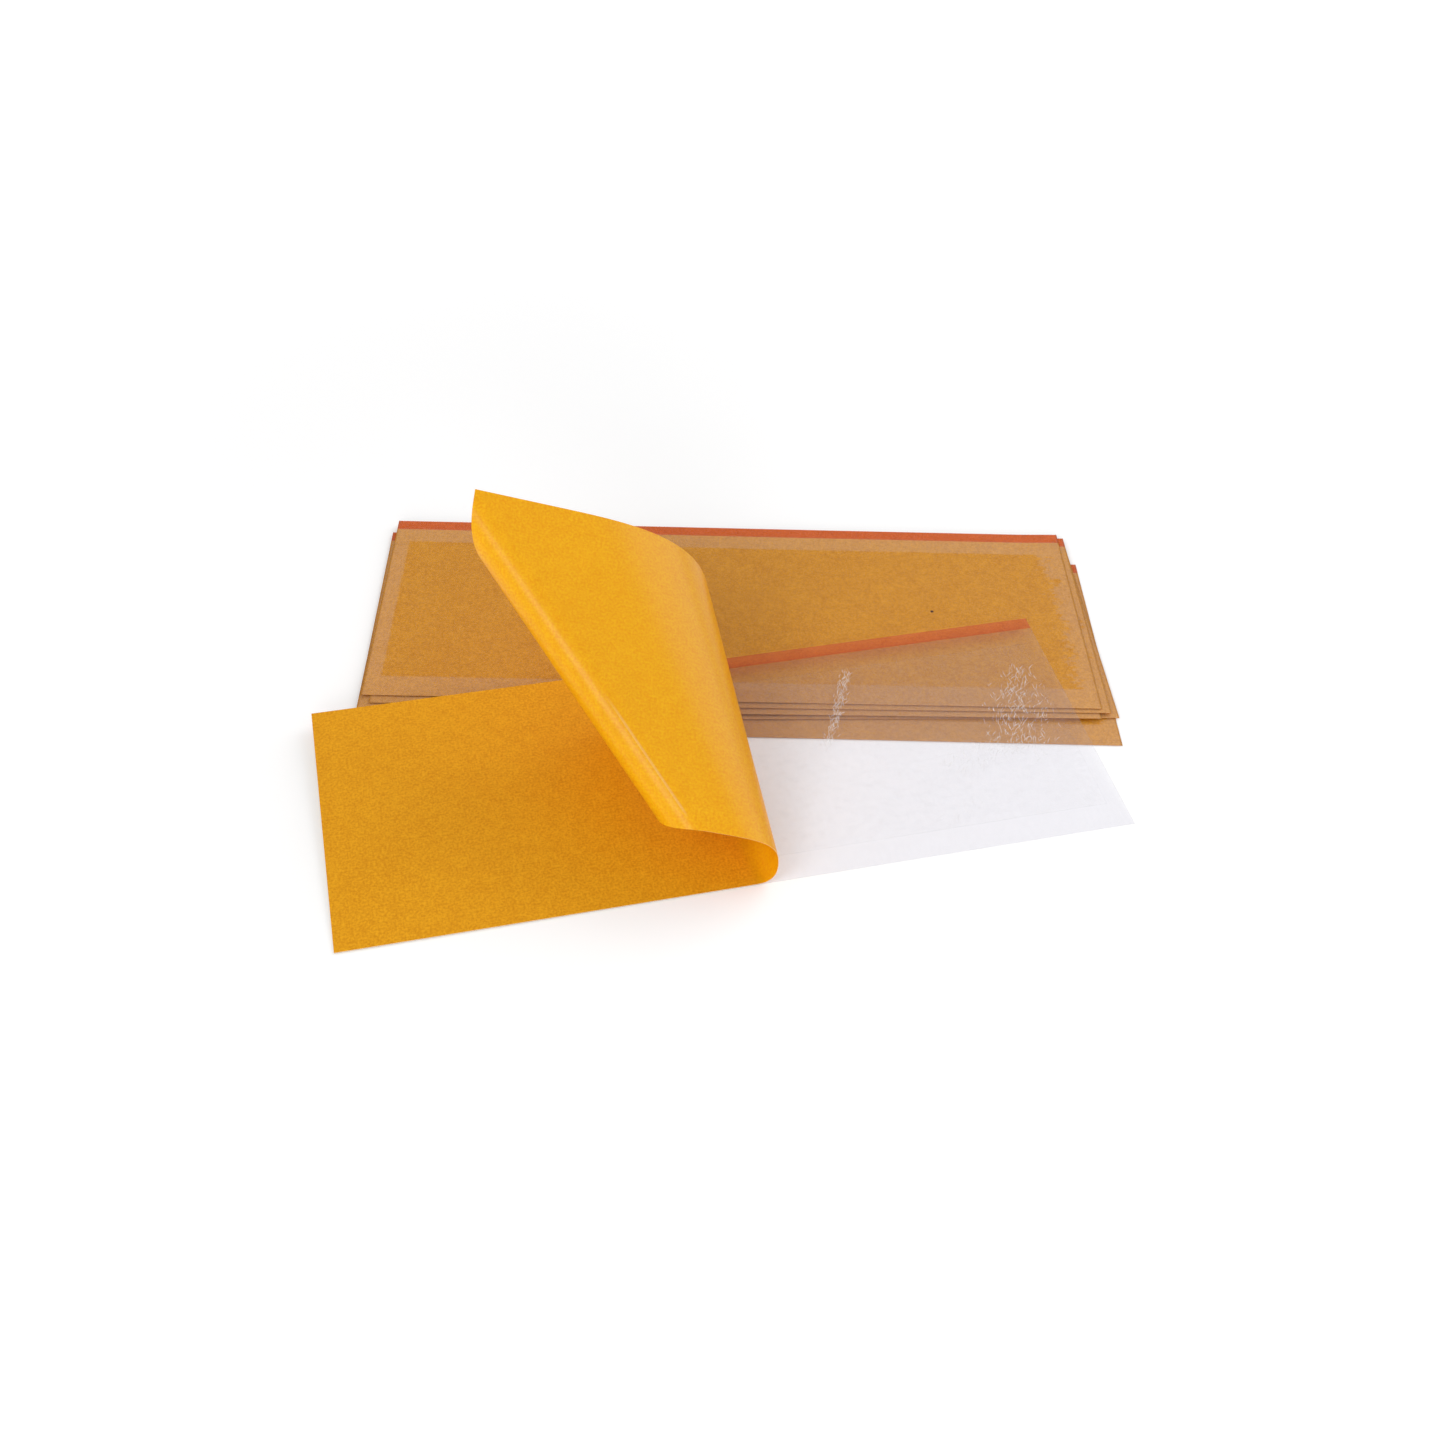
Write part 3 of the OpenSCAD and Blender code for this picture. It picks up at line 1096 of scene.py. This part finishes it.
@dataclass
class GlueStrings:
    """Short strings of glue that stand in streaks on the bare glue coat."""

    sheet: OpenSheet
    streaks: tuple[Streak, ...] = (
        Streak((0.1785, 0.0815), (0.1635, 0.0515), 0.0013, 1.6),
        Streak((0.2380, 0.0735), (0.2345, 0.0600), 0.0032, 0.5),
        Streak((0.2335, 0.0590), (0.2270, 0.0440), 0.0080, 0.55),
        Streak((0.2230, 0.0440), (0.2050, 0.0330), 0.0045, 0.35),
        Streak((0.2040, 0.0170), (0.1910, 0.0130), 0.0030, 0.06),
    )
    density: float = 1200000.0
    length: float = 0.0030
    thick: float = 0.00005
    seed: int = 11
    area: tuple[Spot, Spot] = ((0.150, 0.010), (0.244, 0.086))
    cells: tuple[int, int] = (94, 76)
    bow: float = 0.12
    bends: int = 6
    sides: int = 5
    tip: float = 0.08
    turns: tuple[Place, Place] = ((-0.05, -0.1, 0.4), (0.05, 0.1, 1.8))
    sizes: tuple[Place, Place] = ((0.35, 0.6, 0.6), (1.25, 1.5, 1.3))

    def patch(self) -> bpy.types.Object:
        """Makes a flat patch of the coat.

        Returns:
            The patch, whose points say how much glue was pulled there.
        """
        flat = flat_grid(*self.area, self.cells)
        pull = np.zeros(flat.shape[:2])
        for streak in self.streaks:
            start, end = np.array(streak.start), np.array(streak.end)
            run = end - start
            share = np.clip(((flat - start) @ run) / (run @ run), 0, 1)
            away = np.linalg.norm(flat - start - share[..., None] * run, axis=-1)
            pull = np.maximum(pull, streak.share * np.exp(-((away / streak.width) ** 2)))
        points = raised(flat).reshape(-1, 3)
        faces = cell_corners(np.arange(len(points)).reshape(flat.shape[:2]))
        mesh = bpy.data.meshes.new("glue_strings")
        mesh.from_pydata(points.tolist(), [], faces.tolist())
        pulled = mesh.attributes.new("pull", "FLOAT", "POINT")
        pulled.data.foreach_set("value", pull.astype(np.float32).ravel())
        return linked("glue_strings", mesh)

    def tree(self) -> bpy.types.NodeTree:
        """Builds the tree that scatters strings over the patch.

        Returns:
            The geometry node tree.
        """
        tree = bpy.data.node_groups.new("scatter_glue_strings", "GeometryNodeTree")
        inputs = {
            "Geometry": "Geometry",
            "Density": "Float",
            "Length": "Float",
            "Thickness": "Float",
            "Seed": "Int",
            "Finish": "Material",
        }
        for name, kind in inputs.items():
            tree.interface.new_socket(name, in_out="INPUT", socket_type=f"NodeSocket{kind}")
        tree.interface.new_socket("Geometry", in_out="OUTPUT", socket_type="NodeSocketGeometry")
        bench = Bench(tree)
        given = tree.nodes.new("NodeGroupInput")
        size = {s.name: Wire(bench, s) for s in given.outputs if s.name}
        named = "GeometryNodeInputNamedAttribute"
        pull = bench.node(named, {"Name": "pull"}, "Attribute", data_type="FLOAT")
        spots = bench.node(
            "GeometryNodeDistributePointsOnFaces",
            {"Mesh": size["Geometry"], "Density": size["Density"] * pull, "Seed": size["Seed"]},
            "Points",
            distribute_method="RANDOM",
        )
        middle = {"Y": size["Length"] * self.bow, "Z": size["Thickness"]}
        bow = bench.node("ShaderNodeCombineXYZ", middle)
        ahead = bench.node("ShaderNodeCombineXYZ", {"X": size["Length"] * 0.5})
        behind = bench.node("ShaderNodeCombineXYZ", {"X": size["Length"] * -0.5})
        curve = {"Resolution": self.bends, "Start": behind, "Middle": bow, "End": ahead}
        thread = bench.node("GeometryNodeCurveQuadraticBezier", curve)
        along = bench.node("GeometryNodeSplineParameter", output="Factor")
        taper = along * (1 - along) * 4 + self.tip
        thread = bench.node("GeometryNodeSetCurveRadius", {"Curve": thread, "Radius": taper})
        circle = {"Resolution": self.sides, "Radius": size["Thickness"]}
        section = bench.node("GeometryNodeCurvePrimitiveCircle", circle, mode="RADIUS")
        tube = {"Curve": thread, "Profile Curve": section, "Fill Caps": True, "Scale": taper}
        string = bench.node("GeometryNodeCurveToMesh", tube)
        lie, grow = (
            bench.node(
                "FunctionNodeRandomValue",
                {0: least, 1: most, "Seed": size["Seed"]},
                data_type="FLOAT_VECTOR",
            )
            for least, most in (self.turns, self.sizes)
        )
        laid = {"Points": spots, "Instance": string, "Rotation": lie, "Scale": grow}
        strings = bench.node("GeometryNodeInstanceOnPoints", laid)
        real = bench.node("GeometryNodeRealizeInstances", {0: strings})
        dressed = bench.node("GeometryNodeSetMaterial", {"Geometry": real, "Material": size["Finish"]})
        bench.node("NodeGroupOutput", {0: dressed})
        return tree

    def build(self, glue: PulledGlue) -> None:
        """Scatters the strings, makes them a plain mesh and lays them on the coat.

        Args:
            glue: Finish of the strings.
        """
        finish = glue.material("pulled_glue_and_glints")
        patch, tree = self.patch(), self.tree()
        modifier = patch.modifiers.new("strings", "NODES")
        modifier.node_group = tree
        wanted = {
            "Density": self.density,
            "Length": self.length,
            "Thickness": self.thick,
            "Seed": self.seed,
            "Finish": finish,
        }
        for item in tree.interface.items_tree:
            if item.in_out == "INPUT" and item.name in wanted:
                modifier[item.identifier] = wanted[item.name]
        seen = patch.evaluated_get(bpy.context.evaluated_depsgraph_get())
        mesh = bpy.data.meshes.new_from_object(seen)
        patch.modifiers.clear()
        patch.data = mesh
        cut = self.sheet.cut
        mesh.transform(self.sheet.frame() @ Matrix.Translation((0.0, 0.0, cut.film + cut.glue)))
        mesh.shade_smooth()
        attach(patch, self.sheet.body)
        log.info("%s has %d faces", patch.name, len(mesh.polygons))


@dataclass
class Studio:
    """Pale floor, soft light and the camera."""

    place: Place = (-0.02434, -0.43292, 0.37411)
    aim: Place = (-0.00852, -0.04175, 0.0)
    roll: float = 2.932
    lens: float = 40.36
    sensor: float = 36.0
    sky: float = 0.56
    floor_size: float = 3.0
    floor_level: float = -0.0002
    floor_colour: Colour = (0.92, 0.92, 0.92, 1.0)
    floor_rough: float = 0.9
    near_glow: float = 0.12
    far_glow: float = 0.4
    glow_range: Spot = (0.18, 0.8)
    lamp_aim: Place = (0.0, -0.03, 0.0)
    lamps: tuple[tuple[str, Place, float, float], ...] = (
        ("left_softbox", (-0.65, -0.75, 0.90), 0.5, 4.0),
        ("right_softbox", (0.82, 0.58, 0.66), 1.0, 6.5),
        ("front_softbox", (-0.15, -1.25, 0.22), 0.8, 9.4),
    )
    clear_layers: int = 32

    def camera(self) -> None:
        """Makes the camera at the photograph's viewing angle."""
        data = bpy.data.cameras.new("view_camera")
        data.lens, data.sensor_width = self.lens, self.sensor
        eye = linked("view_camera", data)
        roll = Matrix.Rotation(math.radians(self.roll), 4, "Z")
        eye.matrix_world = facing(self.place, self.aim) @ roll
        bpy.context.scene.camera = eye

    def floor(self) -> None:
        """Makes the white floor, which keeps the object's shadow."""
        half, low = self.floor_size / 2, self.floor_level
        corners = [(-half, -half, low), (half, -half, low), (half, half, low), (-half, half, low)]
        mesh = bpy.data.meshes.new("floor")
        mesh.from_pydata(corners, [], [(0, 1, 2, 3)])
        paint = Paint("floor_white")
        seen, glossy, through = (
            paint.node("ShaderNodeLightPath", output=ray)
            for ray in ("Is Camera Ray", "Is Glossy Ray", "Is Transmission Ray")
        )
        lift = paint.node("ShaderNodeMath", {0: seen, 1: glossy}, operation="MAXIMUM")
        lift = paint.node("ShaderNodeMath", {0: lift, 1: through}, operation="MAXIMUM")
        spot = paint.node("ShaderNodeTexCoord", output="Object")
        far = paint.node("ShaderNodeVectorMath", {0: spot}, "Value", operation="LENGTH")
        glow = lift * (self.near_glow + paint.ramp(far, *self.glow_range) * self.far_glow)
        white = paint.finish(
            {
                "Base Color": self.floor_colour,
                "Roughness": self.floor_rough,
                "Specular IOR Level": 0.0,
                "Emission Color": paint.mix(glow, BLACK, WHITE),
                "Emission Strength": 1.0,
            }
        )
        mesh.materials.append(white)
        linked("floor", mesh)

    def light(self) -> None:
        """Makes the even sky and the three softboxes."""
        world = bpy.data.worlds.new("studio_sky")
        world.use_nodes = True
        world.node_tree.nodes.clear()
        bench = Bench(world.node_tree)
        seen = bench.node("ShaderNodeLightPath", output="Is Camera Ray")
        level = self.sky + seen * (1.0 - self.sky)
        sky = bench.node("ShaderNodeBackground", {"Color": WHITE, "Strength": level})
        bench.node("ShaderNodeOutputWorld", {"Surface": sky})
        bpy.context.scene.world = world
        for name, place, size, power in self.lamps:
            data = bpy.data.lights.new(name, "AREA")
            data.shape, data.size, data.energy = "SQUARE", size, power
            linked(name, data).matrix_world = facing(place, self.lamp_aim)

    def build(self) -> None:
        """Makes the stage and sets the view."""
        self.floor()
        self.light()
        self.camera()
        scene = bpy.context.scene
        scene.view_settings.view_transform = "Standard"
        scene.cycles.transparent_max_bounces = self.clear_layers


def main() -> None:
    """Builds the pile, the open sheet and the studio."""
    logging.basicConfig(level=logging.INFO, format="%(message)s")
    cut = SheetCut()
    glue = ClearGlue()
    pile = SheetFinish(
        # The pile's paper rims are a darker brown than the open sheet's pale rims, and its films get a darker
        # band at their short ends: painted shade along the sheets' edges.
        KraftPaper(edge=ink(172, 114, 68)), glue, StripeInk(), ClearFilm(rim=0.10, painted_end_shade=0.0008)
    )
    opened = SheetFinish(
        KraftPaper(),
        glue,
        # The open stripe takes a darker copy of the same ink: painted shade.
        StripeInk((ink(212, 112, 64), ink(228, 134, 82))),
        # The open film gets a darker haze and a grey tint than the pile's films: painted shade for the film's
        # shadow on the floor under it.
        ClearFilm(haze=ink(205, 205, 212), tint=(0.971, 0.969, 0.980, 1.0), dry=0.042),
    )
    for number, (shift, turn) in enumerate(PILE_PLACES, 1):
        fleck = TOP_FLECK if number == len(PILE_PLACES) else None
        spring = FRONT_SPRING if number > FLAT_SHEETS else 0.0
        PileSheet(cut, number, shift, turn, spring=spring, fleck=fleck).build(pile)
    open_sheet = OpenSheet(cut, Peel(cut))
    open_sheet.build(opened)
    GlueStrings(open_sheet).build(PulledGlue())
    Studio().build()


if __name__ == "__main__":
    main()
